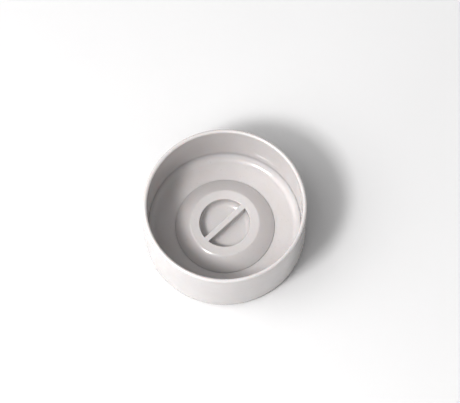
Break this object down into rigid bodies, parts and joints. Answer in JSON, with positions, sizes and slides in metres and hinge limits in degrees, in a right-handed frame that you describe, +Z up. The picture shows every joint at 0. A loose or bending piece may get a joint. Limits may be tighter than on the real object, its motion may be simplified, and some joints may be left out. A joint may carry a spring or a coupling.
{
  "type": "fence insulator",
  "caption": "Round insulator cup with a domed screw-down cap over its fixing screws; the cap has two finger wells and a grip web.",
  "frame": {"origin": "centre of the underside, on the face that the gasket rests on", "axes": "+Z up the cup's axis towards its open mouth; X along the grip web when the cap is screwed down"},
  "size_m": [0.08, 0.08, 0.0345],
  "materials": {
    "cup": "smooth gloss, warm light grey",
    "cap": "smooth gloss, warm light grey",
    "washer": "smooth satin acetal",
    "collar": "dark glass-filled nylon",
    "screws": "stainless steel",
    "sleeves": "turned brass",
    "seal": "black rubber",
    "gasket": "dark grey rubber sheet"
  },
  "bodies": {
    "cup": {"cup_shell": "cup", "thread_collar": "collar", "collar_screws": "screws", "screw_sleeves": "sleeves", "rim_seal": "seal", "foot_gasket": "gasket"},
    "washer": {"keyed_washer": "washer"},
    "cap": {"turn_cap": "cap"}
  },
  "joints": [
    {"name": "cap_lift", "type": "slide", "parent": "cup", "child": "washer", "axis": [0, 0, 1], "range_m": [0, 0.0025]},
    {"name": "cap_turn", "type": "hinge", "parent": "washer", "child": "cap", "pos_m": [0, 0, 0.0046], "axis": [0, 0, 1], "range_deg": [0, 180]}
  ],
  "couplings": [
    {"joint": "cap_lift", "follows": "cap_turn", "m_per_rad": 0.00079577}
  ]
}
